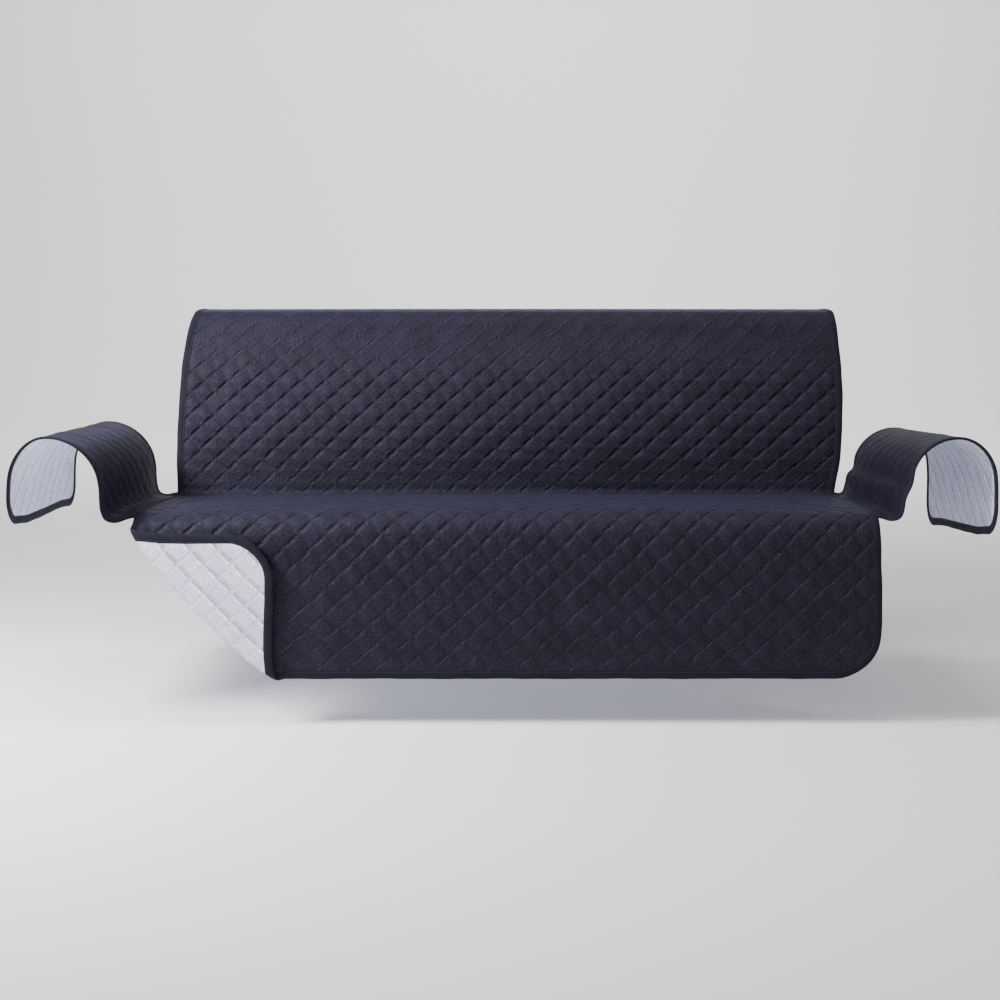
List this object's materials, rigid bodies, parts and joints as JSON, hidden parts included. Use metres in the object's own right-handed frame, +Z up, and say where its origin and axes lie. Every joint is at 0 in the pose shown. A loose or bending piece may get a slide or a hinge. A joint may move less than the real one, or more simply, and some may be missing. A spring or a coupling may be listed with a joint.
{
  "type": "sofa slipcover",
  "caption": "Quilted navy sofa cover, draped over back, seat and arms, with bound edges and one front corner turned up to its pale reverse",
  "frame": {"origin": "under the middle of the cloth on top of the sofa's back, where the cover rests on it", "axes": "+X is to the right of a viewer facing the sofa, +Y is to the rear of the sofa, +Z is up"},
  "size_m": [2.2078, 0.9753, 0.8223],
  "materials": {
    "quilted_face": "brushed navy microfibre, diamond quilted",
    "lining": "pale grey plain-weave polyester",
    "binding": "navy woven binding tape"
  },
  "bodies": {
    "root": {"main_panel": "quilted_face", "main_lining": "lining", "main_binding": "binding", "left_arm_flap": "quilted_face", "left_arm_binding": "binding", "right_arm_flap": "quilted_face", "right_arm_binding": "binding"}
  },
  "joints": []
}
